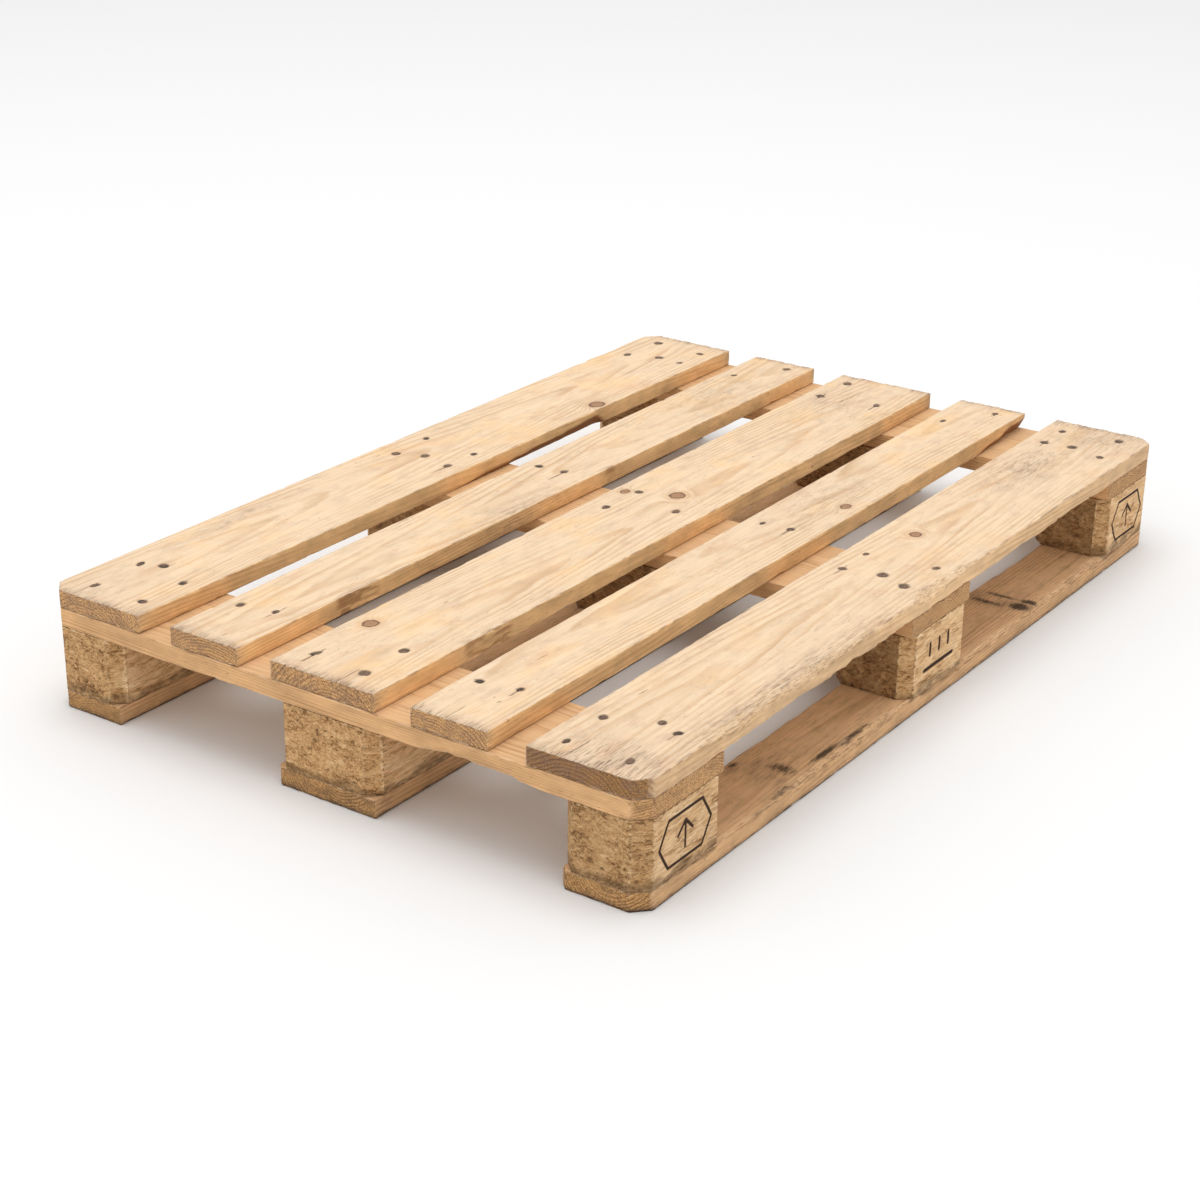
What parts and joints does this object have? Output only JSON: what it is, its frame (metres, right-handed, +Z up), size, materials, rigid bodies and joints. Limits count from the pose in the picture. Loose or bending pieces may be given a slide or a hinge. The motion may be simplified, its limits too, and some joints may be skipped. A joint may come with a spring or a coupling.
{
  "type": "wooden pallet",
  "caption": "Four-way entry wooden pallet: deck boards nailed over cross stringers, pressed-wood blocks and skid boards, with openings for forks on all four sides.",
  "frame": {"origin": "on the ground, under the middle of the pallet", "axes": "+X across the deck boards towards the right side, +Y along the deck boards towards the rear end, +Z up"},
  "size_m": [0.8, 1.2, 0.144],
  "materials": {
    "deck": "sawn pale pine, weathered",
    "stringer": "sawn pine",
    "block": "pressed wood chips, sawn edges",
    "skid": "sawn pine, dirty and worn",
    "nail": "dark, lightly rusted steel"
  },
  "bodies": {
    "root": {"deck_board_left": "deck", "deck_board_mid_left": "deck", "deck_board_centre": "deck", "deck_board_mid_right": "deck", "deck_board_right": "deck", "stringer_front": "stringer", "stringer_middle": "stringer", "stringer_rear": "stringer", "block_front_left": "block", "block_front_centre": "block", "block_front_right": "block", "block_middle_left": "block", "block_middle_centre": "block", "block_middle_right": "block", "block_rear_left": "block", "block_rear_centre": "block", "block_rear_right": "block", "skid_left": "skid", "skid_centre": "skid", "skid_right": "skid", "long_nails": "nail", "clinch_nails": "nail", "skid_nails": "nail"}
  },
  "joints": []
}
